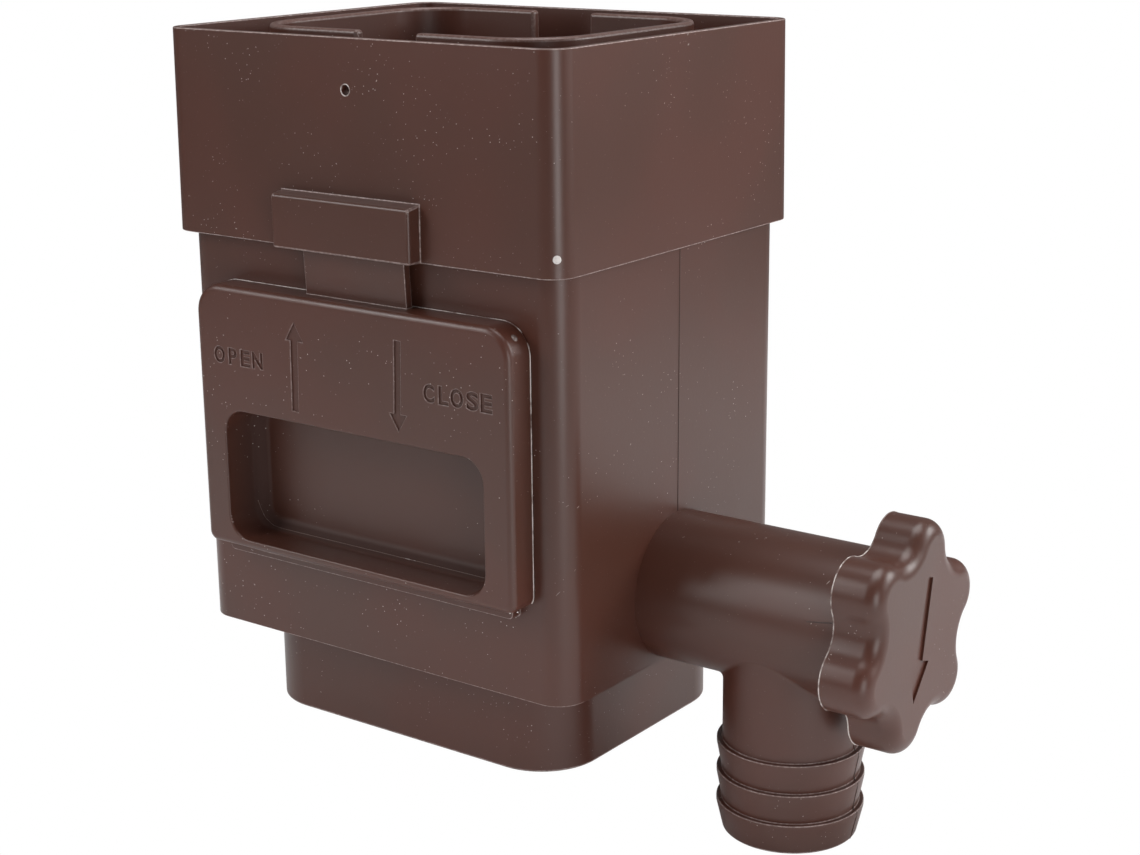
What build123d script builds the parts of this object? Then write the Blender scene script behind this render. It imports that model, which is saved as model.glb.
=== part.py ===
from build123d import *
import math
import os

# A leaf separator for a rectangular downpipe, in millimetres
# Z is up with the spigot's lower end at zero, the door faces -Y and the side branch leaves towards +X

# Housing box
BODY_WIDTH = 115.0
BODY_DEPTH = 92.0
BODY_CORNER = 7.0
BODY_WALL = 2.5
BODY_FLOOR = 2.0
BODY_BOTTOM = 23.5
BODY_TOP = 138.0

# Bevel on the lower rims of the spigot and the hose tail
RIM_BEVEL = 0.4

# Lower spigot, which goes into the downpipe below
SPIGOT_WIDTH = 96.5
SPIGOT_DEPTH = 75.0
SPIGOT_CORNER = 15.5
SPIGOT_WALL = 2.4

# Standing weir that holds water back for the branch
WEIR_WIDTH = 74.0
WEIR_DEPTH = 56.0
WEIR_CORNER = 10.0
WEIR_WALL = 2.0
WEIR_TOP = 50.0

# Inlet collar, which hides the housing's top edge and steps out from its walls
COLLAR_SIDE_STEP = 1.75
COLLAR_FRONT_STEP = 3.05
COLLAR_CORNER = 6.0
COLLAR_DRAFT = 0.35
COLLAR_WALL = 2.0
COLLAR_FIT = 0.1
COLLAR_OVERLAP = 14.0
COLLAR_RISE = 35.1
COLLAR_WEB = 2.2
SCREW_HOLE_RADIUS = 1.25
SCREW_HOLE_DROP = 11.7

# Latch bridge on the collar's front, which sits left of centre as the screw hole does
COLLAR_FRONT_SHIFT = -0.5
BRIDGE_WIDTH = 42.0
BRIDGE_REACH = 7.0
BRIDGE_HEIGHT = 13.4
BRIDGE_WALL = 1.9
BRIDGE_SLOPE = 0.8
BRIDGE_ROOF = 1.4
BRIDGE_EDGE = 0.8

# Slotted guide sleeve inside the collar
SLEEVE_WIDTH = 92.4
SLEEVE_DEPTH = 70.6
SLEEVE_CORNER = 17.0
SLEEVE_WALL = 2.8
SLEEVE_PROUD = 0.3
SLEEVE_FLANGE = 3.0
SLEEVE_FLANGE_THICKNESS = 2.0
SLEEVE_LIP_DEPTH = 8.0
SLEEVE_LIP_WALL = 2.5
SLEEVE_LIP_FIT = 0.1
SLEEVE_SLOT_WIDTH = 17.6
SLEEVE_SLOT_DEPTH = 25.4
SLEEVE_SLOT_CORNER = 1.2

# Front window, the sill below it and the door that covers it
WINDOW_WIDTH = 88.0
WINDOW_BOTTOM = 47.0
WINDOW_CORNER = 4.0
WINDOW_LAP = 7.1
SILL_GAP = 0.1
SILL_WIDTH = 89.6
SILL_DEPTH = 2.9
SILL_HEIGHT = 2.9
SILL_CORNER = 1.2
DOOR_WIDTH = 96.7
DOOR_SHIFT = 0.6
DOOR_SILL_GAP = 0.2
DOOR_ROOM = 10.9
DOOR_REACH = 7.8
DOOR_WALL = 2.2
DOOR_TOP_CORNER = 7.5
DOOR_BOTTOM_CORNER = 2.5
DOOR_EDGE = 1.7
DOOR_CLEARANCE = 0.3
POCKET_WIDTH = 80.4
POCKET_HEIGHT = 32.8
POCKET_MARGIN = 2.3
POCKET_DEPTH = 11.9
POCKET_CORNER = 6.0
POCKET_WALL = 2.0
POCKET_MOUTH = 0.5
POCKET_FLOOR_EDGE = 3.6
TONGUE_WIDTH = 30.9
TONGUE_SHIFT = 0.35
TONGUE_REACH = 3.4
TONGUE_THICKNESS = 2.0
TONGUE_LEAN = 0.9
TONGUE_ENTRY = 2.4
HOOK_WIDTH = 60.0
HOOK_DROP = 5.0
HOOK_THICKNESS = 1.8
HOOK_CORNER = 2.0

# Sloping leaf screen and the rails that carry it
SCREEN_SLOPE = 38.0
SCREEN_DOOR_ROOM = 3.4
SCREEN_BACK_ROOM = 2.0
SCREEN_SIDE_ROOM = 0.3
SCREEN_FRONT_HEIGHT = 56.0
SCREEN_THICKNESS = 2.4
SCREEN_FRAME = 5.0
SCREEN_CORNER = 4.0
SCREEN_SLOT = 2.6
SCREEN_SLOT_PITCH = 4.4
SCREEN_ROWS = 3
SCREEN_ROW_GAP = 3.0
RAIL_WIDTH = 3.5
RAIL_THICKNESS = 2.0
RAIL_STOP = 2.5

# Branch pipe and hose tail, measured from the housing's wall
PIPE_LENGTH = 53.7
PIPE_RADIUS = 18.25
PIPE_WALL = 3.5
PIPE_FLOOR_ROOM = 0.99
TAIL_REACH = 32.5
TAIL_NECK_RADIUS = 16.3
TAIL_WALL = 3.9
TAIL_BLEND = 1.6
TAIL_END = -13.7
TAIL_END_RADIUS = 16.0
BARB_COUNT = 3
BARB_START = 23.0
BARB_PITCH = 7.55
BARB_RADIUS = 17.6
BARB_ROOT_RADIUS = 16.4
BARB_CREST = 1.1

# Rotary valve spool in the branch pipe
SPOOL_CLEARANCE = 0.08
SPOOL_WALL = 3.07
SPOOL_CAP = 3.2
SPOOL_PORT_RADIUS = 10.5
SPOOL_STEM_RADIUS = 7.5
SPOOL_STEM_FLAT = 5.6
SPOOL_STEM_LENGTH = 8.0
CATCH_LENGTH = 1.5
CATCH_LIFT = 0.7
CATCH_GAP = 0.3
CATCH_SLOT = 3.0
CATCH_SLOT_LENGTH = 9.0
CATCH_COUNT = 4
RING_GROOVE_WIDTH = 2.2
RING_GROOVE_DEPTH = 1.5
RING_CLEARANCE = 0.07
RING_OFFSET = 17.2

# Lobed valve knob
KNOB_GAP = 0.6
KNOB_DEPTH = 11.8
KNOB_LOBES = 6
KNOB_OUTER = 27.1
KNOB_VALLEY = 21.0
KNOB_LOBE_RADIUS = 7.7
KNOB_EDGE = 4.0
KNOB_WALL = 2.2
KNOB_BOSS_RADIUS = 10.0
KNOB_RIB = 1.6
KNOB_TURN = -13.8
STEM_FIT = 0.05
STEM_END_GAP = 0.3

# Reach of a cut past a face, and of a joined piece into its neighbour
PAST = 1.0
INTO = 1.0

# Values that follow from the sizes above
FRONT_FACE = BODY_DEPTH / 2
INNER_WIDTH = BODY_WIDTH - 2 * BODY_WALL
INNER_DEPTH = BODY_DEPTH - 2 * BODY_WALL
INNER_CORNER = BODY_CORNER - BODY_WALL
FLOOR_TOP = BODY_BOTTOM + BODY_FLOOR
COLLAR_WIDTH = BODY_WIDTH + 2 * COLLAR_SIDE_STEP
COLLAR_DEPTH = BODY_DEPTH + 2 * COLLAR_FRONT_STEP
COLLAR_BOTTOM = BODY_TOP - COLLAR_OVERLAP
COLLAR_TOP = BODY_TOP + COLLAR_RISE
WEB_TOP = BODY_TOP + COLLAR_WEB
SCREW_HOLE_HEIGHT = COLLAR_TOP - SCREW_HOLE_DROP
BRIDGE_FRONT = FRONT_FACE + BRIDGE_REACH
BRIDGE_TOP = COLLAR_BOTTOM + BRIDGE_HEIGHT
SLEEVE_TOP = COLLAR_TOP + SLEEVE_PROUD
SLEEVE_SLOT_BOTTOM = SLEEVE_TOP - SLEEVE_SLOT_DEPTH
SILL_TOP = WINDOW_BOTTOM - SILL_GAP
DOOR_BACK = FRONT_FACE + DOOR_CLEARANCE
DOOR_FRONT = FRONT_FACE + DOOR_REACH
DOOR_BOTTOM = WINDOW_BOTTOM + DOOR_SILL_GAP
DOOR_TOP = COLLAR_BOTTOM - DOOR_ROOM
WINDOW_TOP = DOOR_TOP - WINDOW_LAP
POCKET_BOTTOM = DOOR_BOTTOM + POCKET_MARGIN
POCKET_TOP = POCKET_BOTTOM + POCKET_HEIGHT
POCKET_BACK = DOOR_FRONT - POCKET_DEPTH
TRAY_BACK = POCKET_BACK - POCKET_WALL
TONGUE_FRONT = FRONT_FACE + TONGUE_REACH
TONGUE_TOP = COLLAR_BOTTOM + TONGUE_ENTRY
SCREEN_FRONT = TRAY_BACK - SCREEN_DOOR_ROOM
SCREEN_RUN = INNER_DEPTH / 2 + SCREEN_FRONT - SCREEN_BACK_ROOM
SCREEN_LENGTH = SCREEN_RUN / math.cos(math.radians(SCREEN_SLOPE))
SCREEN_WIDTH = INNER_WIDTH - 2 * SCREEN_SIDE_ROOM
PIPE_START = BODY_WIDTH / 2
PIPE_END = PIPE_START + PIPE_LENGTH
PIPE_BORE = PIPE_RADIUS - PIPE_WALL
PIPE_HEIGHT = FLOOR_TOP + PIPE_BORE + PIPE_FLOOR_ROOM
TAIL_POSITION = PIPE_START + TAIL_REACH
TAIL_BORE = TAIL_NECK_RADIUS - TAIL_WALL
BARB_TOP = TAIL_END + BARB_START
SPOOL_RADIUS = PIPE_BORE - SPOOL_CLEARANCE
SPOOL_BORE = SPOOL_RADIUS - SPOOL_WALL
KNOB_BACK = PIPE_END + KNOB_GAP
KNOB_FACE = KNOB_BACK + KNOB_DEPTH


def block(width, depth, corner, bottom, top):
    """An upright box with rounded vertical edges, centred on the Z axis."""
    return Pos(0, 0, bottom) * extrude(RectangleRounded(width, depth, corner), top - bottom)


def upright_panel(width, bottom, top, back, front, top_corner=0.0, low_corner=0.0):
    """A panel that stands in XZ between two depths, measured towards the front."""
    half = width / 2
    outline = Polyline((-half, bottom), (half, bottom), (half, top), (-half, top), close=True)
    face = make_face(outline)
    if low_corner:
        face = fillet(face.vertices().sort_by(Axis.Y)[:2], low_corner)
    if top_corner:
        face = fillet(face.vertices().sort_by(Axis.Y)[-2:], top_corner)
    return Plane.XZ.offset(back) * extrude(face, front - back)


def x_cylinder(radius, start, end, height):
    """A cylinder along X between two positions."""
    return Pos(start, 0, height) * Rot(0, 90, 0) * extrude(Circle(radius), end - start)


def z_cylinder(radius, bottom, top, position):
    """An upright cylinder between two heights."""
    return Pos(position, 0, bottom) * extrude(Circle(radius), top - bottom)


def on_slope(shape):
    """Lays a flat shape on the slope of the leaf screen, low end at the front."""
    return Pos(0, -SCREEN_FRONT, SCREEN_FRONT_HEIGHT) * Rot(SCREEN_SLOPE, 0, 0) * shape


def slope_box(width, start, end, low, high, middle=0.0):
    """A box in the plane of the leaf screen, start and end measured up the slope."""
    centre = Pos(middle, (start + end) / 2, (low + high) / 2)
    return on_slope(centre * Box(width, end - start, high - low))


def barb_profile():
    """Half section of the hose tail from its neck to its lower end."""
    points = [(0, PIPE_HEIGHT), (TAIL_NECK_RADIUS, PIPE_HEIGHT), (TAIL_NECK_RADIUS, BARB_TOP)]
    for index in range(BARB_COUNT):
        shoulder = BARB_TOP - index * BARB_PITCH
        points.append((BARB_RADIUS, shoulder))
        points.append((BARB_RADIUS, shoulder - BARB_CREST))
        if index < BARB_COUNT - 1:
            points.append((BARB_ROOT_RADIUS, shoulder - BARB_PITCH))
    points.append((TAIL_END_RADIUS, TAIL_END))
    points.append((0, TAIL_END))
    return points


def make_branch():
    """Side pipe that leaves the housing, with its barbed hose tail."""
    pipe = x_cylinder(PIPE_RADIUS, PIPE_START, PIPE_END, PIPE_HEIGHT)
    section = make_face(Polyline(*barb_profile(), close=True))
    tail = Pos(TAIL_POSITION, 0, 0) * revolve(Plane.XZ * section, Axis.Z)
    branch = pipe + tail
    seam = [e for e in branch.edges() if PIPE_HEIGHT > e.center().Z > BARB_TOP + INTO]
    seam = [e for e in seam if abs(e.center().X - TAIL_POSITION) < PIPE_RADIUS and e.length > PIPE_RADIUS]
    branch = fillet(seam, TAIL_BLEND)
    rim = branch.edges().filter_by(GeomType.CIRCLE).sort_by(Axis.Z)[0]
    branch = chamfer([rim], RIM_BEVEL)
    branch -= x_cylinder(PIPE_BORE, PIPE_START - PAST, PIPE_END + PAST, PIPE_HEIGHT)
    return branch - z_cylinder(TAIL_BORE, TAIL_END - PAST, PIPE_HEIGHT, TAIL_POSITION)


def make_rails():
    """Side rails and end stops under the leaf screen."""
    rails = []
    width = RAIL_WIDTH + INTO
    for side in (-1, 1):
        place = side * (INNER_WIDTH / 2 - RAIL_WIDTH + width / 2)
        rails.append(slope_box(width, 0, SCREEN_LENGTH, -RAIL_THICKNESS, 0, place))
        rails.append(slope_box(width, -RAIL_STOP, 0, -RAIL_THICKNESS, SCREEN_THICKNESS, place))
    return rails


def make_housing():
    """Walls of the box with the front window, the sill and the screen rails."""
    shell = block(BODY_WIDTH, BODY_DEPTH, BODY_CORNER, BODY_BOTTOM, BODY_TOP)
    face = FRONT_FACE
    front = face + SILL_DEPTH
    low = SILL_TOP - SILL_HEIGHT
    corner = SILL_CORNER
    shell += upright_panel(SILL_WIDTH, low, SILL_TOP, face - INTO, front, corner, corner)
    shell -= block(INNER_WIDTH, INNER_DEPTH, INNER_CORNER, BODY_BOTTOM - PAST, BODY_TOP + PAST)
    back = INNER_DEPTH / 2 - PAST
    corner = WINDOW_CORNER
    shell -= upright_panel(WINDOW_WIDTH, WINDOW_BOTTOM, WINDOW_TOP, back, face + PAST, corner, corner)
    shell -= x_cylinder(PIPE_BORE, INNER_WIDTH / 2 - PAST, PIPE_START + PAST, PIPE_HEIGHT)
    for rail in make_rails():
        shell += rail
    return shell


def make_base():
    """Floor inside the walls, with the spigot below it and the weir standing on it."""
    spigot = block(SPIGOT_WIDTH, SPIGOT_DEPTH, SPIGOT_CORNER, 0, BODY_BOTTOM)
    spigot = chamfer(spigot.faces().sort_by(Axis.Z)[0].edges(), RIM_BEVEL)
    bore_width = SPIGOT_WIDTH - 2 * SPIGOT_WALL
    bore_depth = SPIGOT_DEPTH - 2 * SPIGOT_WALL
    spigot -= block(bore_width, bore_depth, SPIGOT_CORNER - SPIGOT_WALL, -PAST, BODY_BOTTOM)
    base = spigot + block(INNER_WIDTH, INNER_DEPTH, INNER_CORNER, BODY_BOTTOM, FLOOR_TOP)
    base += block(WEIR_WIDTH, WEIR_DEPTH, WEIR_CORNER, BODY_BOTTOM, WEIR_TOP)
    drain_width = WEIR_WIDTH - 2 * WEIR_WALL
    drain_depth = WEIR_DEPTH - 2 * WEIR_WALL
    drain_low = BODY_BOTTOM - PAST
    drain = block(drain_width, drain_depth, WEIR_CORNER - WEIR_WALL, drain_low, WEIR_TOP + PAST)
    return base - drain


def make_collar():
    """Outer skirt with its web, latch bridge and fixing hole."""
    top_width = COLLAR_WIDTH - 2 * COLLAR_DRAFT
    top_depth = COLLAR_DEPTH - 2 * COLLAR_DRAFT
    low = Pos(0, 0, COLLAR_BOTTOM) * RectangleRounded(COLLAR_WIDTH, COLLAR_DEPTH, COLLAR_CORNER)
    high = Pos(0, 0, COLLAR_TOP) * RectangleRounded(top_width, top_depth, COLLAR_CORNER)
    skirt = loft([low.face(), high.face()])
    skirt += make_bridge()
    inner_corner = COLLAR_CORNER - COLLAR_WALL
    overlap_width = BODY_WIDTH + 2 * COLLAR_FIT
    overlap_depth = BODY_DEPTH + 2 * COLLAR_FIT
    skirt -= block(overlap_width, overlap_depth, BODY_CORNER, COLLAR_BOTTOM - PAST, BODY_TOP)
    inner_width = top_width - 2 * COLLAR_WALL
    inner_depth = top_depth - 2 * COLLAR_WALL
    skirt -= block(inner_width, inner_depth, inner_corner, WEB_TOP, COLLAR_TOP + PAST)
    web_width = SLEEVE_WIDTH - 2 * SLEEVE_WALL
    web_depth = SLEEVE_DEPTH - 2 * SLEEVE_WALL
    skirt -= block(web_width, web_depth, SLEEVE_CORNER - SLEEVE_WALL, BODY_TOP - PAST, WEB_TOP + PAST)
    cavity_low = COLLAR_BOTTOM - PAST
    cavity_top = BRIDGE_TOP - BRIDGE_SLOPE - BRIDGE_ROOF
    cavity_width = BRIDGE_WIDTH - 2 * BRIDGE_WALL
    cavity_front = BRIDGE_FRONT - BRIDGE_WALL
    cavity = upright_panel(cavity_width, cavity_low, cavity_top, FRONT_FACE - PAST, cavity_front)
    skirt -= Pos(COLLAR_FRONT_SHIFT, 0, 0) * cavity
    hole_start = COLLAR_DEPTH / 2 - 2 * COLLAR_WALL
    hole = extrude(Circle(SCREW_HOLE_RADIUS), 3 * COLLAR_WALL)
    return skirt - Plane.XZ.offset(hole_start) * Pos(COLLAR_FRONT_SHIFT, SCREW_HOLE_HEIGHT) * hole


def make_bridge():
    """Raised loop on the collar's front that the door's tongue slides in."""
    wall = COLLAR_DEPTH / 2 - INTO
    low = COLLAR_BOTTOM
    front_top = BRIDGE_TOP - BRIDGE_SLOPE
    points = [(-wall, low), (-BRIDGE_FRONT, low), (-BRIDGE_FRONT, front_top), (-wall, BRIDGE_TOP)]
    side = make_face(Polyline(*points, close=True))
    loop = extrude(Plane.YZ.offset(-BRIDGE_WIDTH / 2) * side, BRIDGE_WIDTH)
    front = loop.faces().sort_by(Axis.Y)[0]
    return Pos(COLLAR_FRONT_SHIFT, 0, 0) * fillet(front.edges().sort_by(Axis.Z)[1:], BRIDGE_EDGE)


def make_sleeve():
    """Rounded ring with a slot in front and one behind, a flange and a locating lip."""
    lip_width = SLEEVE_WIDTH - 2 * SLEEVE_WALL
    lip_depth = SLEEVE_DEPTH - 2 * SLEEVE_WALL
    lip_corner = SLEEVE_CORNER - SLEEVE_WALL
    flange_width = SLEEVE_WIDTH + 2 * SLEEVE_FLANGE
    flange_depth = SLEEVE_DEPTH + 2 * SLEEVE_FLANGE
    ring = block(SLEEVE_WIDTH, SLEEVE_DEPTH, SLEEVE_CORNER, WEB_TOP, SLEEVE_TOP)
    seat = WEB_TOP + SLEEVE_FLANGE_THICKNESS
    lip_low = WEB_TOP - SLEEVE_LIP_DEPTH
    fit = SLEEVE_LIP_FIT
    ring += block(flange_width, flange_depth, SLEEVE_CORNER + SLEEVE_FLANGE, WEB_TOP, seat)
    ring += block(lip_width - 2 * fit, lip_depth - 2 * fit, lip_corner - fit, lip_low, WEB_TOP)
    bore_width = lip_width - 2 * SLEEVE_LIP_WALL
    bore_depth = lip_depth - 2 * SLEEVE_LIP_WALL
    ring -= block(bore_width, bore_depth, lip_corner - SLEEVE_LIP_WALL, lip_low - PAST, seat)
    ring -= block(lip_width, lip_depth, lip_corner, seat, SLEEVE_TOP + PAST)
    reach = SLEEVE_WIDTH
    top = SLEEVE_TOP + PAST
    slot = upright_panel(SLEEVE_SLOT_WIDTH, SLEEVE_SLOT_BOTTOM, top, -reach, reach, 0, SLEEVE_SLOT_CORNER)
    return ring - slot


def make_screen():
    """Sloping grid that sheds leaves towards the door."""
    plate = extrude(RectangleRounded(SCREEN_WIDTH, SCREEN_LENGTH, SCREEN_CORNER), SCREEN_THICKNESS)
    clear_width = SCREEN_WIDTH - 2 * SCREEN_FRAME
    clear_length = SCREEN_LENGTH - 2 * SCREEN_FRAME
    row_length = (clear_length - (SCREEN_ROWS - 1) * SCREEN_ROW_GAP) / SCREEN_ROWS
    columns = int(clear_width // SCREEN_SLOT_PITCH)
    slot = Box(SCREEN_SLOT, row_length, 4 * SCREEN_THICKNESS)
    pattern = GridLocations(SCREEN_SLOT_PITCH, row_length + SCREEN_ROW_GAP, columns, SCREEN_ROWS)
    slots = Compound([place * slot for place in pattern])
    return on_slope(Pos(0, SCREEN_LENGTH / 2, 0) * (plate - slots))


def make_door():
    """Lift-up door: hollow plate, finger pocket, tongue above and hook below."""
    back = DOOR_BACK
    front = DOOR_FRONT
    wall = DOOR_WALL
    low = DOOR_BOTTOM
    high = DOOR_TOP
    plate = upright_panel(DOOR_WIDTH, low, high, back, front, DOOR_TOP_CORNER, DOOR_BOTTOM_CORNER)
    plate = fillet(plate.faces().sort_by(Axis.Y)[0].edges(), DOOR_EDGE)
    hollow_width = DOOR_WIDTH - 2 * wall
    hollow_corner = DOOR_TOP_CORNER - wall
    plate -= upright_panel(hollow_width, low + wall, high - wall, back - PAST, front - wall, hollow_corner)
    tray_width = POCKET_WIDTH + 2 * POCKET_WALL
    tray_low = WINDOW_BOTTOM + DOOR_CLEARANCE
    tray_high = POCKET_TOP + POCKET_WALL
    outer = POCKET_CORNER + POCKET_WALL
    tray_front = front - wall / 2
    tray = upright_panel(tray_width, tray_low, tray_high, TRAY_BACK, tray_front, outer, POCKET_CORNER)
    door = plate + tray
    mouth = front + PAST
    corner = POCKET_CORNER
    recess = upright_panel(POCKET_WIDTH, POCKET_BOTTOM, POCKET_TOP, POCKET_BACK, mouth, corner, corner)
    recess = fillet(recess.faces().sort_by(Axis.Y)[-1].edges(), POCKET_FLOOR_EDGE)
    door -= recess
    rim = door.faces().sort_by(Axis.Y)[0].inner_wires()[0]
    door = fillet(rim.edges(), POCKET_MOUTH)
    hook_front = INNER_DEPTH / 2 - DOOR_CLEARANCE
    hook_low = WINDOW_BOTTOM - HOOK_DROP
    hook_back = hook_front - HOOK_THICKNESS
    hook = upright_panel(HOOK_WIDTH, hook_low, POCKET_BOTTOM, hook_back, hook_front, 0, HOOK_CORNER)
    return Pos(DOOR_SHIFT, 0, 0) * (door + make_tongue() + hook)


def make_tongue():
    """Tongue that leans forward from the door's top edge into the latch bridge."""
    low = DOOR_TOP - DOOR_WALL
    front = TONGUE_FRONT
    tip = front + TONGUE_LEAN
    thickness = TONGUE_THICKNESS
    points = [(thickness - front, low), (-front, low), (-tip, TONGUE_TOP), (thickness - tip, TONGUE_TOP)]
    side = make_face(Polyline(*points, close=True))
    tongue = extrude(Plane.YZ.offset(-TONGUE_WIDTH / 2) * side, TONGUE_WIDTH)
    return Pos(TONGUE_SHIFT, 0, 0) * tongue


def flats(position, half_height):
    """A wide slab that cuts two flats on a round stem along X."""
    return Pos(position, 0, 0) * Box(4 * SPOOL_STEM_LENGTH, 4 * SPOOL_STEM_RADIUS, 2 * half_height)


def make_spool():
    """Hollow rotary spool with a side port, ring grooves and snap fingers."""
    inner_wall = INNER_WIDTH / 2
    start = inner_wall - CATCH_GAP - CATCH_LENGTH
    spool = x_cylinder(SPOOL_RADIUS, start, PIPE_END, 0)
    spool += x_cylinder(SPOOL_RADIUS + CATCH_LIFT, start, start + CATCH_LENGTH, 0)
    for side in (-1, 1):
        middle = TAIL_POSITION + side * RING_OFFSET
        low = middle - RING_GROOVE_WIDTH / 2
        high = middle + RING_GROOVE_WIDTH / 2
        cutter = x_cylinder(SPOOL_RADIUS + PAST, low, high, 0)
        cutter -= x_cylinder(SPOOL_RADIUS - RING_GROOVE_DEPTH, low - PAST, high + PAST, 0)
        spool -= cutter
    stem = x_cylinder(SPOOL_STEM_RADIUS, PIPE_END, PIPE_END + SPOOL_STEM_LENGTH, 0)
    stem &= flats(PIPE_END, SPOOL_STEM_FLAT)
    spool += stem
    spool -= x_cylinder(SPOOL_BORE, start - PAST, PIPE_END - SPOOL_CAP, 0)
    spool -= z_cylinder(SPOOL_PORT_RADIUS, -2 * SPOOL_RADIUS, 0, TAIL_POSITION)
    slit = Box(2 * CATCH_SLOT_LENGTH, 4 * SPOOL_RADIUS, CATCH_SLOT)
    step = 360 / CATCH_COUNT
    for index in range(CATCH_COUNT // 2):
        spool -= Pos(start, 0, 0) * Rot(step / 2 + step * index, 0, 0) * slit
    return turned(spool)


def turned(shape):
    """Sets the valve to the angle it is shown at, about the pipe's axis."""
    return Pos(0, 0, PIPE_HEIGHT) * Rot(KNOB_TURN, 0, 0) * shape


def make_seal(side):
    """Square-section rubber ring in one of the spool's two grooves."""
    low = SPOOL_RADIUS - RING_GROOVE_DEPTH + RING_CLEARANCE
    high = PIPE_BORE - RING_CLEARANCE
    middle = TAIL_POSITION + side * RING_OFFSET
    section = Pos(middle, (low + high) / 2) * Rectangle(high - low, high - low)
    return turned(revolve(section, Axis.X))


def lobe_outline(inset):
    """Closed wavy outline of the knob, drawn in from its rim by an inset."""
    outer = KNOB_OUTER - inset
    valley = KNOB_VALLEY - inset
    lobe = KNOB_LOBE_RADIUS - inset
    centre = outer - lobe
    cosine = math.cos(math.pi / KNOB_LOBES)
    far = (centre ** 2 - (lobe - valley) ** 2) / (2 * (lobe - valley) + 2 * centre * cosine)
    dip = far - valley
    share = lobe / (lobe + dip)
    arcs = []
    for index in range(KNOB_LOBES):
        joints = []
        for side in (-1, 1):
            crest = math.radians(360 / KNOB_LOBES * index)
            trough = crest + side * math.pi / KNOB_LOBES
            crest_x = centre * math.cos(crest)
            crest_y = centre * math.sin(crest)
            trough_x = far * math.cos(trough)
            trough_y = far * math.sin(trough)
            joints.append((crest_x + share * (trough_x - crest_x), crest_y + share * (trough_y - crest_y)))
        top = (outer * math.cos(crest), outer * math.sin(crest))
        arcs.append(ThreePointArc(joints[0], top, joints[1]))
        trough = crest + math.pi / KNOB_LOBES
        base = (valley * math.cos(trough), valley * math.sin(trough))
        turn = 2 * math.pi / KNOB_LOBES
        start_x = joints[0][0] * math.cos(turn) - joints[0][1] * math.sin(turn)
        start_y = joints[0][0] * math.sin(turn) + joints[0][1] * math.cos(turn)
        arcs.append(ThreePointArc(joints[1], base, (start_x, start_y)))
    return make_face(arcs)


def make_knob():
    """Hollow lobed knob with a boss and ribs behind its face."""
    across = Plane(origin=(KNOB_BACK, 0, 0), x_dir=(0, 0, 1), z_dir=(1, 0, 0))
    depth = KNOB_FACE - KNOB_BACK
    knob = extrude(across * lobe_outline(0), depth)
    knob = fillet(knob.faces().sort_by(Axis.X)[-1].edges(), KNOB_EDGE)
    hollow = extrude(across * lobe_outline(KNOB_WALL), depth - KNOB_WALL)
    ribs = x_cylinder(KNOB_BOSS_RADIUS, KNOB_BACK, KNOB_FACE, 0)
    for index in range(KNOB_LOBES // 2):
        rib = Box(depth, KNOB_RIB, 2 * KNOB_OUTER)
        turn = 180 / KNOB_LOBES + 360 / KNOB_LOBES * index
        ribs += Pos(KNOB_BACK + depth / 2 + KNOB_WALL, 0, 0) * Rot(turn, 0, 0) * rib
    knob -= hollow - ribs
    socket_end = PIPE_END + SPOOL_STEM_LENGTH + STEM_END_GAP
    socket = x_cylinder(SPOOL_STEM_RADIUS + STEM_FIT, KNOB_BACK - PAST, socket_end, 0)
    socket &= flats(KNOB_BACK, SPOOL_STEM_FLAT + STEM_FIT)
    return turned(knob - socket)


def main():
    """Writes one STEP file for each separate piece."""
    os.makedirs("parts", exist_ok=True)
    pieces = {
        "housing_walls": make_housing(),
        "housing_base": make_base(),
        "branch_pipe": make_branch(),
        "inlet_collar": make_collar(),
        "guide_sleeve": make_sleeve(),
        "leaf_screen": make_screen(),
        "front_door": make_door(),
        "valve_spool": make_spool(),
        "seal_inner": make_seal(-1),
        "seal_outer": make_seal(1),
        "valve_knob": make_knob(),
    }
    for name, shape in pieces.items():
        export_step(shape, "parts/" + name + ".step")
        print(name, len(shape.solids()), round(shape.volume))


main()
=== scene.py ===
import bmesh
import bpy
import math
from mathutils import Matrix, Vector
from mathutils.bvhtree import BVHTree


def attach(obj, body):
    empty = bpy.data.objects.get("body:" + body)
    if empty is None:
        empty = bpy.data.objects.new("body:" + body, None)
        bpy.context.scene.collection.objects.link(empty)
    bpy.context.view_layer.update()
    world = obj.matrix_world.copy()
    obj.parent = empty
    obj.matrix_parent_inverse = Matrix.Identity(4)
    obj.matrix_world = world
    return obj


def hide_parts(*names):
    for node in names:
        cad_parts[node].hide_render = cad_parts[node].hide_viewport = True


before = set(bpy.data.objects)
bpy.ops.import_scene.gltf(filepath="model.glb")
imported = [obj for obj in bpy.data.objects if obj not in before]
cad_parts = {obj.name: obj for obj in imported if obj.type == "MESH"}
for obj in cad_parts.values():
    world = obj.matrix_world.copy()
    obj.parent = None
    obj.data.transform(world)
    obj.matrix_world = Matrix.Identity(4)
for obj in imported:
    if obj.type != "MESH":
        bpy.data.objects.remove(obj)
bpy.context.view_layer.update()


print("frame loaded", sorted(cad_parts))


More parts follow.
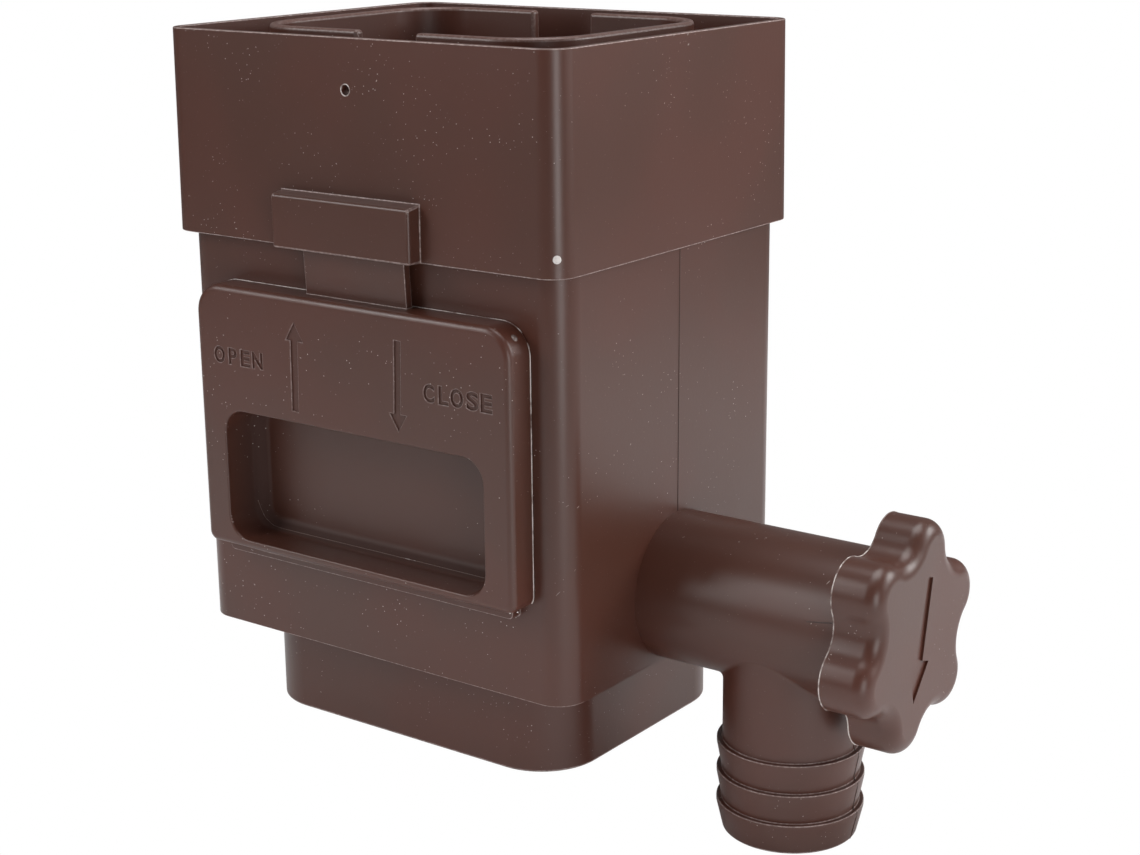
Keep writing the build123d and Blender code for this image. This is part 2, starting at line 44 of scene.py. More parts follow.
# Node sums, written as plain expressions on sockets
class Shade:
    def __init__(self, tree, socket=None):
        self.tree = tree
        self.socket = socket

    def make(self, kind, settings, inputs, output=0):
        node = self.tree.nodes.new(kind)
        for key, value in settings.items():
            setattr(node, key, value)
        for key, value in inputs.items():
            self.feed(node.inputs[key], value)
        return Shade(self.tree, node.outputs[output])

    def feed(self, target, value):
        if isinstance(value, Shade):
            self.tree.links.new(value.socket, target)
        else:
            target.default_value = value

    def sum(self, operation, first, second=0.0):
        return self.make("ShaderNodeMath", {"operation": operation}, {0: first, 1: second})

    def __add__(self, other):
        return self.sum("ADD", self, other)

    def __radd__(self, other):
        return self.sum("ADD", other, self)

    def __sub__(self, other):
        return self.sum("SUBTRACT", self, other)

    def __rsub__(self, other):
        return self.sum("SUBTRACT", other, self)

    def __mul__(self, other):
        return self.sum("MULTIPLY", self, other)

    def __rmul__(self, other):
        return self.sum("MULTIPLY", other, self)

    def most(self, other):
        return self.sum("MAXIMUM", self, other)

    def above(self, edge, soft):  # 0 under the edge, 1 past it, with a soft step between
        inputs = {"Value": self, "From Min": edge, "From Max": edge + soft}
        return self.make("ShaderNodeMapRange", {"interpolation_type": "SMOOTHSTEP"}, inputs)

    def tint(self, first, second):  # 6 and 7 are the Mix node's colours, 2 its colour result
        inputs = {"Factor": self, 6: first, 7: second}
        return self.make("ShaderNodeMix", {"data_type": "RGBA"}, inputs, 2)

    def noise(self, place, scale, detail, output=0):
        inputs = {"Vector": place, "Scale": scale, "Detail": detail}
        return self.make("ShaderNodeTexNoise", {}, inputs, output)

    def bump(self, look, height):
        inputs = {"Strength": look["bump"], "Distance": look["bumpDepth"], "Height": height}
        return self.make("ShaderNodeBump", {}, inputs)


def begun(name):
    # a new material with its main shader, the Shade for its tree and its Object coordinates
    material = bpy.data.materials.new(name)
    material.use_nodes = True
    s = Shade(material.node_tree)
    base = material.node_tree.nodes["Principled BSDF"]
    return material, base, s, s.make("ShaderNodeTexCoord", {}, {}, "Object")


# Moulded plastic: a brown that drifts to red, with dust and hair scratches. Edges are pale,
# partly rubbed and partly a painted highlight; the edge attribute is above 0 there, and under 0
# in sunk places, which get painted shade and a duller finish.
plasticLook = {
    "brown": (0.066, 0.0238, 0.0155, 1.0),
    "red": (0.074, 0.0232, 0.0145, 1.0),
    "dust": (0.55, 0.48, 0.45, 1.0),
    # the next two are the pale edge colour, partly wear and partly a painted highlight, and the
    # painted shade of sunk places
    "wornAndHighlit": (0.44, 0.35, 0.33, 1.0),
    "paintedShade": (0.030, 0.012, 0.009, 1.0),
    "roughness": 0.36,
    "ior": 1.5,
    "driftScale": 19.0,
    "patchScale": 42.0,
    "grainScale": 1100.0,
    "redStep": (0.42, 0.2),
    "crowdStep": (0.47, 0.13),
    "wornAndHighlitStep": (0.4, 0.25),
    "wornAndHighlitEven": 0.45,
    "wornAndHighlitShare": 0.8,
    "paintedShadeShare": 0.6,
    "dustCover": 0.9,
    "scratchCover": 0.6,
    "roughNoise": {"drift": 0.10, "patch": 0.06, "grain": 0.05},
    "roughMarks": {"dust": 0.3, "edge": 0.08, "sunk": 0.5},
    "height": {"grain": 0.22, "drift": 2.2, "patch": 0.7, "dust": 0.6, "lines": -0.8},
    "bump": 0.22,
    "bumpDepth": 0.0002,
    "dustSets": [
        {"cell": 0.0013, "share": 0.99, "size": 0.078, "seed": 3.0, "everywhere": 0.12},
        {"cell": 0.00286, "share": 0.2475, "size": 0.050, "seed": 7.0, "everywhere": 0.35},
    ],
    "scratchSets": [
        {"turn": (-0.6, 0.6, 0.0), "long": 9.0, "share": 0.85, "seed": 7.0},
        {"turn": (-0.5, -1.1, 0.0), "long": 7.0, "share": 0.7, "seed": 11.0},
    ],
    "scratch": {"cell": 0.0016, "size": 0.062, "bend": 0.006, "bendScale": 60.0},
}


speckLook = {"least": 0.35, "soft": 0.02, "chanceSoft": 0.002}


def specks(s, place, look):
    # round spots in some of the cells of a pattern, each of its own size
    seed = look["seed"]
    shift = {0: place, 1: (seed, seed * 0.7, seed * 1.3)}
    spot = s.make("ShaderNodeVectorMath", {"operation": "ADD"}, shift)
    cells = {"Vector": spot, "Scale": 1 / look["cell"]}
    near = s.make("ShaderNodeTexVoronoi", {}, cells, "Distance")
    luck = s.make("ShaderNodeTexVoronoi", {}, cells, "Color")
    chosen = s.make("ShaderNodeSeparateColor", {}, {"Color": luck}, "Red")
    large = s.make("ShaderNodeSeparateColor", {}, {"Color": luck}, "Green")
    filled = (look["size"] * (speckLook["least"] + large) - near).above(0.0, speckLook["soft"])
    return filled * chosen.above(1 - look["share"], speckLook["chanceSoft"])


def scratches(s, place, look, part):
    # a stretched cell pattern, bent by slow noise, leaves short curved hairlines
    wave = s.noise(place, look["bendScale"], 1.0, "Color")
    bending = {0: wave, 1: (look["bend"],) * 3, 2: place}
    bent = s.make("ShaderNodeVectorMath", {"operation": "MULTIPLY_ADD"}, bending)
    laying = {"Vector": bent, "Rotation": part["turn"], "Scale": (1.0, 1.0, part["long"])}
    laid = s.make("ShaderNodeMapping", {"vector_type": "TEXTURE"}, laying)
    return specks(s, laid, {**look, **part})


def plastic(name, look):
    material, base, s, place = begun(name)
    noises = {
        "drift": s.noise(place, look["driftScale"], 2.0),
        "patch": s.noise(place, look["patchScale"], 2.5),
        "grain": s.noise(place, look["grainScale"], 2.0),
    }
    wearHighlightShade = s.make("ShaderNodeAttribute", {"attribute_name": "edgeWearHighlightShade"}, {}, "Fac")
    marks = {"edge": wearHighlightShade.most(0.0), "sunk": (0.0 - wearHighlightShade).most(0.0)}
    crowd = noises["patch"].above(*look["crowdStep"])  # dust and scratches gather in patches
    small, large = [
        specks(s, place, part) * (part["everywhere"] + crowd * (1 - part["everywhere"]))
        for part in look["dustSets"]
    ]
    first, second = [scratches(s, place, look["scratch"], part) for part in look["scratchSets"]]
    marks["dust"] = small.most(large)
    marks["lines"] = first.most(second) * crowd
    tone = noises["drift"].above(*look["redStep"]).tint(look["brown"], look["red"])
    # painted shade: sunk places are darkened, where shade falls
    tone = (marks["sunk"] * look["paintedShadeShare"]).tint(tone, look["paintedShade"])
    # pale edges, partly wear and partly a painted highlight
    uneven = noises["grain"].above(*look["wornAndHighlitStep"]) * (1 - look["wornAndHighlitEven"])
    rubbedAndHighlit = marks["edge"] * (look["wornAndHighlitEven"] + uneven)
    colour = (rubbedAndHighlit * look["wornAndHighlitShare"]).tint(tone, look["wornAndHighlit"])
    cover = (marks["dust"] * look["dustCover"]).most(marks["lines"] * look["scratchCover"])
    colour = cover.tint(colour, look["dust"])
    rough = look["roughness"]
    for key, share in look["roughNoise"].items():
        rough = rough + (noises[key] - 0.5) * share
    for key, share in look["roughMarks"].items():
        rough = rough + marks[key] * share
    height = 0.0
    for key, share in look["height"].items():
        height = height + {**noises, **marks}[key] * share
    s.feed(base.inputs["Base Color"], colour)
    s.feed(base.inputs["Roughness"], rough)
    s.feed(base.inputs["Normal"], s.bump(look, height))
    base.inputs["IOR"].default_value = look["ior"]
    return material


brownPlastic = plastic("brownPlastic", plasticLook)

# Flash, gate pips and parting lines: the same plastic, whitened where it was trimmed. The pale
# colour of the flash and crease beads is partly a painted highlight, and the white of the gate
# pips is a painted glint.
flashLook = {
    "plain": (0.13, 0.075, 0.062, 1.0),
    "white": (0.62, 0.56, 0.53, 1.0),
    "roughness": 0.5,
    "whiteShare": 0.75,
    "longScale": 70.0,
    "longShare": 0.6,
    "shortScale": 600.0,
    "whiteEdge": 0.62,
    "whiteReach": 0.3,
    "whiteSoft": 0.16,
    "roughNoise": 0.2,
    "bump": 0.3,
    "bumpDepth": 0.0001,
}
creaseLook = {**flashLook, "whiteShare": 0.25}
partingLook = {
    **flashLook,
    "plain": (0.040, 0.017, 0.012, 1.0),
    "white": (0.16, 0.10, 0.085, 1.0),
    "roughness": 0.45,
    "whiteShare": 0.0,
}
# the white of the gate pips is a painted glint
glintLook = {
    **flashLook,
    "plain": (0.15, 0.11, 0.10, 1.0),
    "white": (0.62, 0.58, 0.56, 1.0),
    "roughness": 0.28,
    "whiteShare": 0.8,
}


def whitened(name, look):
    material, base, s, place = begun(name)
    long = s.noise(place, look["longScale"], 2.0)
    short = s.noise(place, look["shortScale"], 2.0)
    mixed = long * look["longShare"] + short * (1 - look["longShare"])
    edge = look["whiteEdge"] - look["whiteShare"] * look["whiteReach"]
    white = mixed.above(edge, look["whiteSoft"])
    s.feed(base.inputs["Base Color"], white.tint(look["plain"], look["white"]))
    s.feed(base.inputs["Roughness"], look["roughness"] + (short - 0.5) * look["roughNoise"])
    s.feed(base.inputs["Normal"], s.bump(look, short))
    return material


partingPlastic = whitened("partingPlastic", partingLook)
creasePlastic = whitened("creasePlastic", creaseLook)
flashPlastic = whitened("flashPlastic", flashLook)
glintPlastic = whitened("glintPlastic", glintLook)

# Seal rubber: black with a pale bloom
rubberLook = {
    "black": (0.012, 0.012, 0.013, 1.0),
    "bloom": (0.06, 0.058, 0.055, 1.0),
    "roughness": 0.55,
    "sheen": 0.15,
    "cloudScale": 160.0,
    "grainScale": 2600.0,
    "bloomStep": (0.5, 0.3),
    "roughNoise": 0.3,
    "bump": 0.2,
    "bumpDepth": 0.0001,
}


def rubber(name, look):
    material, base, s, place = begun(name)
    cloud = s.noise(place, look["cloudScale"], 4.0)
    grain = s.noise(place, look["grainScale"], 2.0)
    colour = cloud.above(*look["bloomStep"]).tint(look["black"], look["bloom"])
    s.feed(base.inputs["Base Color"], colour)
    s.feed(base.inputs["Roughness"], look["roughness"] + (cloud - 0.5) * look["roughNoise"])
    s.feed(base.inputs["Normal"], s.bump(look, grain))
    base.inputs["Sheen Weight"].default_value = look["sheen"]
    return material


sealRubber = rubber("sealRubber", rubberLook)
print("materials made")

# How meshes are joined and shaded. Below, each rounding of edges is its width, the least
# angle in degrees that it takes, its steps and its pale colour, which is wear and painted
# highlight.
meshLook = {
    "mergeGap": 2e-6,
    "flatAngle": 0.1,
    "sharpAngle": 42,
    "rimAngle": 28.6479,
    "normalWeight": 50,
}


def placed(name, mesh):
    piece = bpy.data.objects.new(name, mesh)
    bpy.context.scene.collection.objects.link(piece)
    return piece


def applied(piece):
    graph = bpy.context.evaluated_depsgraph_get()
    return bpy.data.meshes.new_from_object(piece.evaluated_get(graph))


def written(work, name):
    mesh = bpy.data.meshes.new(name)
    work.to_mesh(mesh)
    work.free()
    return mesh


def mergedWork(node):
    # the CAD node's loose triangles, joined, as a mesh to work on
    work = bmesh.new()
    work.from_mesh(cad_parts[node].data)
    bmesh.ops.remove_doubles(work, verts=work.verts, dist=meshLook["mergeGap"])
    return work


def mergedCopy(node):
    return written(mergedWork(node), node + "Copy")


def carved(mesh, cutterMesh):
    body = placed("carvedBody", mesh)
    cutter = placed("carvingTool", cutterMesh)
    step = body.modifiers.new("carve", "BOOLEAN")
    step.operation = "DIFFERENCE"
    step.solver = "MANIFOLD"
    step.object = cutter
    result = applied(body)
    bpy.data.objects.remove(body)
    bpy.data.objects.remove(cutter)
    return result


def turnedBy(edge, degrees):
    return edge.is_manifold and edge.calc_face_angle(0) > math.radians(degrees)


def eased(mesh, passes, paintedRecessShade=None):
    # joins flat faces, then rounds sharp edges pass by pass and marks them pale, as wear and
    # painted highlight.
    # A pass is a test of the edge's middle and a rounding.
    # The last argument gives how much painted shade a corner in a sunk place gets, from 0 to 1.
    work = bmesh.new()
    work.from_mesh(mesh)
    flat = math.radians(meshLook["flatAngle"])
    bmesh.ops.dissolve_limit(work, angle_limit=flat, verts=work.verts, edges=work.edges)
    wearHighlightShade = work.loops.layers.float.new("edgeWearHighlightShade")
    for wanted, (width, least, steps, wornAndHighlit) in passes:
        sharp = [
            edge
            for edge in work.edges
            if turnedBy(edge, least) and wanted((edge.verts[0].co + edge.verts[1].co) / 2)
        ]
        made = bmesh.ops.bevel(
            work, geom=sharp, offset=width, offset_type="OFFSET", segments=steps, profile=0.5,
            affect="EDGES", clamp_overlap=False, loop_slide=True,
        )
        # the rounded faces are marked pale: wear and painted highlight
        for face in made["faces"]:
            for corner in face.loops:
                corner[wearHighlightShade] = wornAndHighlit
    work.normal_update()
    for face in work.faces:
        face.smooth = True
        for corner in face.loops:
            # unrounded corners in sunk places are marked under 0, for painted shade
            if paintedRecessShade and corner[wearHighlightShade] == 0.0:
                corner[wearHighlightShade] = -paintedRecessShade(corner.vert.co, corner.vert.normal)
    smoothUnder = math.radians(meshLook["sharpAngle"])
    for edge in work.edges:
        edge.smooth = not edge.is_manifold or edge.calc_face_angle(0) < smoothUnder
    return written(work, mesh.name)


def finished(name, mesh, material, nodes, body):
    # puts a brown plastic piece into the scene, for these CAD nodes if it stands for any
    mesh.materials.clear()
    mesh.materials.append(material)
    piece = placed(name, mesh)
    if nodes:
        shade = piece.modifiers.new("evenNormals", "WEIGHTED_NORMAL")
        shade.keep_sharp = True
        shade.weight = meshLook["normalWeight"]
        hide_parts(*nodes)
    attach(piece, body)
    return piece


def inside(spot, box):
    low, high = box
    return all(low[k] < spot[k] < high[k] for k in range(3))


def metres(point):
    return tuple(c * 0.001 for c in point)


def everyEdge(middle):
    return True


# Marks that are cut into a face: spot maps (across, up, depth from 0 to 1) into the frame
markTool = {"proud": 0.0004, "thickness": 0.5, "curveSteps": 6, "mergeGap": 1e-5}


def prism(outline, spot):
    work = bmesh.new()
    near = [work.verts.new(spot(a, b, 0)) for a, b in outline]
    far = [work.verts.new(spot(a, b, 1)) for a, b in outline]
    work.faces.new(near)
    work.faces.new(list(reversed(far)))
    count = len(outline)
    for k in range(count):
        after = (k + 1) % count
        work.faces.new((near[k], far[k], far[after], near[after]))
    bmesh.ops.recalc_face_normals(work, faces=work.faces)
    return work


def letterBlock(letter, box, spot, weight):
    # one letter of the built-in font, fitted to its own place in the word
    curve = bpy.data.curves.new("letter", "FONT")
    curve.body = letter
    curve.extrude = markTool["thickness"]
    curve.offset = weight
    curve.resolution_u = markTool["curveSteps"]
    holder = placed("letter", curve)
    mesh = applied(holder)
    bpy.data.objects.remove(holder)
    work = bmesh.new()
    work.from_mesh(mesh)
    bmesh.ops.remove_doubles(work, verts=work.verts, dist=markTool["mergeGap"])
    low = [min(v.co[k] for v in work.verts) for k in range(2)]
    high = [max(v.co[k] for v in work.verts) for k in range(2)]
    left, right, foot, head = box
    for v in work.verts:
        across = left + (right - left) * (v.co.x - low[0]) / (high[0] - low[0])
        up = foot + (head - foot) * (v.co.y - low[1]) / (high[1] - low[1])
        v.co = spot(across, up, markTool["thickness"] - v.co.z)
    bmesh.ops.recalc_face_normals(work, faces=work.faces)
    return work


def gathered(works):
    whole = bmesh.new()
    for work in works:
        whole.from_mesh(written(work, "part"))
    return written(whole, "gathered")


# Geometry Nodes: thin beads swept along a path, and flattened pips set on points
def opened(name, inputs, output):
    # a new tree, the Shade for it and its inputs by name
    tree = bpy.data.node_groups.new(name, "GeometryNodeTree")
    for label, (kind, value) in inputs.items():
        socket = tree.interface.new_socket(label, in_out="INPUT", socket_type="NodeSocket" + kind)
        if value is not None:
            socket.default_value = value
    tree.interface.new_socket(output, in_out="OUTPUT", socket_type="NodeSocketGeometry")
    given = tree.nodes.new("NodeGroupInput")
    return tree, Shade(tree), {label: Shade(tree, given.outputs[label]) for label in inputs}


def closed(tree, s, shape, plain, output):
    shape = s.make("GeometryNodeRealizeInstances", {}, {"Geometry": shape})
    shape = s.make("GeometryNodeSetMaterial", {}, {"Geometry": shape, "Material": plain})
    s.feed(tree.nodes.new("NodeGroupOutput").inputs[output], shape)
    return tree


treeLook = {"waveScale": 900.0, "beadSides": 6, "pipRounds": 3}


def sweepTree(name):
    inputs = {
        "Path": ("Geometry", None),
        "Radius": ("Float", 0.0001),
        "Unevenness": ("Float", 0.4),
        "Step": ("Float", 0.0006),
        "Seed": ("Float", 1.0),
        "Plastic": ("Material", None),
    }
    tree, s, given = opened(name, inputs, "Bead")
    line = s.make("GeometryNodeMeshToCurve", {}, {"Mesh": given["Path"]})
    spacing = {"Curve": line, "Length": given["Step"]}
    line = s.make("GeometryNodeResampleCurve", {"mode": "LENGTH"}, spacing)
    waving = {"W": given["Seed"], "Scale": treeLook["waveScale"], "Detail": 1.0}
    wave = s.make("ShaderNodeTexNoise", {"noise_dimensions": "4D"}, waving)
    thick = given["Radius"] * (1.0 + (wave - 0.5) * 2.0 * given["Unevenness"])
    section = {"Resolution": treeLook["beadSides"], "Radius": 1.0}
    ring = s.make("GeometryNodeCurvePrimitiveCircle", {"mode": "RADIUS"}, section)
    sweep = {"Curve": line, "Profile Curve": ring, "Scale": thick, "Fill Caps": True}
    bead = s.make("GeometryNodeCurveToMesh", {}, sweep)
    return closed(tree, s, bead, given["Plastic"], "Bead")


def pipTree(name):
    inputs = {
        "Spots": ("Geometry", None),
        "Flatness": ("Float", 0.4),
        "Plastic": ("Material", None),
    }
    tree, s, given = opened(name, inputs, "Pips")
    read = "GeometryNodeInputNamedAttribute"
    rounds = {"Radius": 1.0, "Subdivisions": treeLook["pipRounds"]}
    ball = s.make("GeometryNodeMeshIcoSphere", {}, rounds)
    facing = s.make(read, {"data_type": "FLOAT_VECTOR"}, {"Name": "facing"})
    wide = s.make(read, {"data_type": "FLOAT"}, {"Name": "wide"})
    turned = s.make("FunctionNodeAlignRotationToVector", {"axis": "Z"}, {"Vector": facing})
    spread = {"X": wide, "Y": wide, "Z": wide * given["Flatness"]}
    size = s.make("ShaderNodeCombineXYZ", {}, spread)
    setting = {"Points": given["Spots"], "Instance": ball, "Rotation": turned, "Scale": size}
    pips = s.make("GeometryNodeInstanceOnPoints", {}, setting)
    return closed(tree, s, pips, given["Plastic"], "Pips")


beadTree = sweepTree("trimBead")
glintTree = pipTree("glintPips")


def grown(mesh, tree, values):
    # runs a tree on a mesh with these inputs and gives back the plain result
    holder = placed("grown", mesh)
    step = holder.modifiers.new("grow", "NODES")
    step.node_group = tree
    for item in tree.interface.items_tree:
        if item.in_out == "INPUT" and item.name in values:
            step[item.identifier] = values[item.name]
    result = applied(holder)
    bpy.data.objects.remove(holder)
    for polygon in result.polygons:
        polygon.use_smooth = True
    return result


def pathMesh(lines):
    mesh = bpy.data.meshes.new("path")
    points = [point for line in lines for point in line]
    pairs, start = [], 0
    for line in lines:
        pairs += [(start + k, start + k + 1) for k in range(len(line) - 1)]
        start += len(line)
    mesh.from_pydata(points, pairs, [])
    return mesh


def rimMesh(node, wanted):
    # the sharp edges of a CAD node that pass the test, as a path
    work = mergedWork(node)
    kept = set()
    for edge in work.edges:
        sharp = turnedBy(edge, meshLook["rimAngle"])
        if sharp and wanted(edge.verts[0].co) and wanted(edge.verts[1].co):
            kept.add(edge)
    bmesh.ops.delete(work, geom=list(work.faces), context="FACES_ONLY")
    bmesh.ops.delete(work, geom=[e for e in work.edges if e not in kept], context="EDGES")
    bmesh.ops.delete(work, geom=[v for v in work.verts if not v.link_edges], context="VERTS")
    return written(work, "rim")


def addBead(name, mesh, look, material, body):
    values = {key.capitalize(): look[key] for key in ("radius", "unevenness", "step", "seed")}
    values["Plastic"] = material
    finished(name, grown(mesh, beadTree, values), material, [], body)


# Housing: three CAD nodes that are one moulding, so their common seams stay unrounded
housingLook = {
    "edges": (0.00022, 30, 2, 0.8),
    "seamGap": 6e-6,
    "nodes": {
        "housing_walls": "housingWalls",
        "housing_base": "housingBase",
        "branch_pipe": "branchPipe",
    },
}


def makeHousing(look):
    copies = {node: mergedCopy(node) for node in look["nodes"]}
    skins = {}
    for node, mesh in copies.items():
        work = bmesh.new()
        work.from_mesh(mesh)
        skins[node] = BVHTree.FromBMesh(work)
        work.free()
    for node, name in look["nodes"].items():
        others = [skins[other] for other in skins if other != node]

        def offSeam(middle):
            return all(skin.find_nearest(middle)[3] >= look["seamGap"] for skin in others)

        mesh = eased(copies[node], [(offSeam, look["edges"])])
        finished(name, mesh, brownPlastic, [node], "separator")


makeHousing(housingLook)
print("housing made")

# Inlet collar: the latch bridge on its front has softer edges than the rest
collarLook = {
    "edges": (0.00022, 30, 2, 1.0),
    "bridgeEdges": (0.00055, 30, 3, 0.55),
    "bridgeFront": -0.0497,
    "bridgeTop": 0.1376,
    "bridgeHalf": 0.022,
}


def makeCollar(look):
    def onBridge(middle):
        ahead = middle.y < look["bridgeFront"] and middle.z < look["bridgeTop"]
        return ahead and abs(middle.x) < look["bridgeHalf"]

    def elsewhere(middle):
        return not onBridge(middle)

    passes = [(elsewhere, look["edges"]), (onBridge, look["bridgeEdges"])]
    mesh = eased(mergedCopy("inlet_collar"), passes)
    finished("inletCollar", mesh, brownPlastic, ["inlet_collar"], "separator")


makeCollar(collarLook)

# Guide sleeve: its rim is well rounded, for the pipe to slip in
sleeveLook = {
    "edges": (0.0002, 30, 2, 0.8),
    "rimEdges": (0.0009, 30, 4, 0.22),
    "rimHeight": 0.150,
}


def makeSleeve(look):
    def onRim(middle):
        return middle.z > look["rimHeight"]

    def below(middle):
        return middle.z <= look["rimHeight"]

    passes = [(onRim, look["rimEdges"]), (below, look["edges"])]
    mesh = eased(mergedCopy("guide_sleeve"), passes)
    finished("guideSleeve", mesh, brownPlastic, ["guide_sleeve"], "separator")


makeSleeve(sleeveLook)
print("collar and sleeve made")

# Leaf screen
screenLook = {"edges": (0.00015, 30, 2, 0.7)}


def makeScreen(look):
    mesh = eased(mergedCopy("leaf_screen"), [(everyEdge, look["edges"])])
    finished("leafScreen", mesh, brownPlastic, ["leaf_screen"], "separator")


makeScreen(screenLook)
print("leaf screen made")

# Door, with the sunk words and arrows on its front. Marks are in mm: letters as left, right,
# foot and head, arrows as outlines.
doorLook = {
    "edges": (0.00018, 30, 2, 0.8),
    "markEdges": (0.0002, 60, 2, 0.5),
    "front": -0.0538,
    "depth": 0.00042,
    "slack": 0.0001,
    "rimGap": 3e-5,
    "floorShare": 0.7,
    # painted shade on the floors of the marks
    "markShade": 0.3,
    "markHalf": 0.0445,
    "markFoot": 0.0845,
    "markHead": 0.1075,
    "pocket": ((-0.0402, -0.0528, 0.0485), (0.0413, -0.0405, 0.083)),
    # painted shade on the pocket's left wall and in its fillets, where shade falls
    "wallShade": 0.7,
    "filletShade": 1.2,
    "letterWeight": 0.026,
    "open": [
        ("O", -41.97, -38.52, 93.9, 97.9),
        ("P", -37.19, -34.45, 93.9, 97.9),
        ("E", -33.18, -30.1, 93.9, 97.9),
        ("N", -29.31, -25.94, 93.9, 97.9),
    ],
    "close": [
        ("C", 24.25, 27.33, 93.6, 97.8),
        ("L", 28.63, 31.39, 93.6, 97.8),
        ("O", 32.1, 35.7, 93.6, 97.8),
        ("S", 36.68, 39.97, 93.6, 97.8),
        ("E", 40.64, 43.9, 93.6, 97.8),
    ],
    "upArrow": [
        (-15.18, 106.66), (-12.56, 102.43), (-14.2, 102.44), (-14.75, 85.15),
        (-16.75, 85.3), (-16.4, 102.45), (-17.86, 102.47),
    ],
    "downArrow": [
        (15.88, 106.6), (17.81, 106.55), (17.11, 89.3), (18.9, 89.28),
        (16.46, 85.38), (13.95, 89.35), (15.31, 89.33),
    ],
}


def makeDoor(look):
    front, depth, slack = look["front"], look["depth"], look["slack"]
    markBox = (
        (-look["markHalf"], front - slack, look["markFoot"]),
        (look["markHalf"], front + depth + slack, look["markHead"]),
    )

    def spot(across, up, share):
        y = front - markTool["proud"] + share * (markTool["proud"] + depth)
        return (across * 0.001, y, up * 0.001)

    def markRim(middle):
        return inside(middle, markBox) and abs(middle.y - front) < look["rimGap"]

    def otherEdge(middle):
        return not inside(middle, markBox)

    # painted shade: darkens the floors of the marks, the pocket's left wall and its fillets
    def paintedRecessShade(corner, normal):
        if inside(corner, markBox):
            onFloor = corner.y > front + depth * look["floorShare"]
            return look["markShade"] if onFloor else 0.0
        if not inside(corner, look["pocket"]):
            return 0.0
        fillet = 4 * normal.y ** 2 * (1 - normal.y ** 2)  # 1 where the corner turns by half
        return min(1.0, look["wallShade"] * max(normal.x, 0.0) + look["filletShade"] * fillet)

    blocks = [prism(look["upArrow"], spot), prism(look["downArrow"], spot)]
    for letter, left, right, foot, head in look["open"] + look["close"]:
        blocks.append(letterBlock(letter, (left, right, foot, head), spot, look["letterWeight"]))
    mesh = carved(mergedCopy("front_door"), gathered(blocks))
    mesh = eased(mesh, [(otherEdge, look["edges"]), (markRim, look["markEdges"])], paintedRecessShade)
    finished("frontDoor", mesh, brownPlastic, ["front_door"], "door")


makeDoor(doorLook)
print("door made")

# Spool and its rubber rings are hidden, so the CAD shapes stay
hiddenLook = {
    "valve_spool": (brownPlastic, "brown_pvc"),
    "seal_inner": (sealRubber, "seal_rubber"),
    "seal_outer": (sealRubber, "seal_rubber"),
}

for node, (material, slotName) in hiddenLook.items():
    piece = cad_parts[node]
    piece.data.materials.clear()
    piece.data.materials.append(material)

# Knob, with its sunk arrow in mm from the knob's middle
knobLook = {
    "edges": (0.0002, 30, 2, 0.8),
    "face": 0.1236,
    "depth": 0.00055,
    "centre": 41.24,
    "turn": -13.8,
    "markReach": 0.0156,
    "slack": 0.0001,
    "arrow": [
        (0.5, -14.2), (1.3, 5.0), (4.4, 5.2), (-0.2, 14.9),
        (-4.8, 5.1), (-2.1, 4.8), (-1.8, -14.3),
    ],
}


def makeKnob(look):
    turn = math.radians(look["turn"])
    side, drop = (math.cos(turn), math.sin(turn)), (math.sin(turn), -math.cos(turn))

    def spot(across, down, share):
        x = look["face"] + markTool["proud"] - share * (markTool["proud"] + look["depth"])
        y = across * side[0] + down * drop[0]
        z = look["centre"] + across * side[1] + down * drop[1]
        return (x, y * 0.001, z * 0.001)

    def offMark(middle):
        away = Vector((middle.y, middle.z - look["centre"] * 0.001)).length
        shallow = middle.x > look["face"] - look["depth"] - look["slack"]
        return not (shallow and away < look["markReach"])

    mesh = carved(mergedCopy("valve_knob"), gathered([prism(look["arrow"], spot)]))
    mesh = eased(mesh, [(offMark, look["edges"])])
    finished("valveKnob", mesh, brownPlastic, ["valve_knob"], "valve")


makeKnob(knobLook)
print("knob made")

# Parting lines on the housing: down its side, along the hose tail and a short one on the pipe
partingBead = {
    "radius": 0.00014,
    "unevenness": 0.25,
    "step": 0.0012,
    "seed": 2.0,
    "side": [(0.0575, 0.00045, 0.1242), (0.0575, 0.0, 0.0597)],
    "short": [(0.1035, -0.01745, 0.0466), (0.1104, -0.0171, 0.0476)],
    "tail": {
        "axis": 0.090, "angle": 4.0, "away": 0.05, "top": 0.0235, "foot": -0.0134, "count": 150,
    },
}


def tailLine(look):
    # looks at the hose tail from its side, so that the line follows the barbs
    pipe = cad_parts["branch_pipe"].data
    points = [tuple(v.co) for v in pipe.vertices]
    skin = BVHTree.FromPolygons(points, [tuple(p.vertices) for p in pipe.polygons])
    turn = math.radians(look["angle"])
    away = Vector((math.cos(turn), math.sin(turn), 0.0))
    line = []
    for k in range(look["count"]):
        height = look["top"] + (look["foot"] - look["top"]) * k / (look["count"] - 1)
        start = Vector((look["axis"], 0.0, height)) + away * look["away"]
        line.append(tuple(skin.ray_cast(start, -away)[0]))
    return line


def addParting(look):
    path = pathMesh([look["side"], tailLine(look["tail"]), look["short"]])
    addBead("partingLines", path, look, partingPlastic, "separator")


addParting(partingBead)

# Pale ring round the fixing hole
ringBead = {
    "radius": 0.00014,
    "unevenness": 0.35,
    "step": 0.0005,
    "seed": 8.0,
    "centre": (-0.0005, -0.04878, 0.1614),
    "across": 0.0027,
    "count": 40,
}


def addRing(look):
    x, y, z = look["centre"]
    ring = []
    for k in range(look["count"] + 1):
        turn = k * math.tau / look["count"]
        half = look["across"] / 2
        ring.append((x + half * math.cos(turn), y, z + half * math.sin(turn)))
    addBead("holeRing", pathMesh([ring]), look, flashPlastic, "separator")


addRing(ringBead)

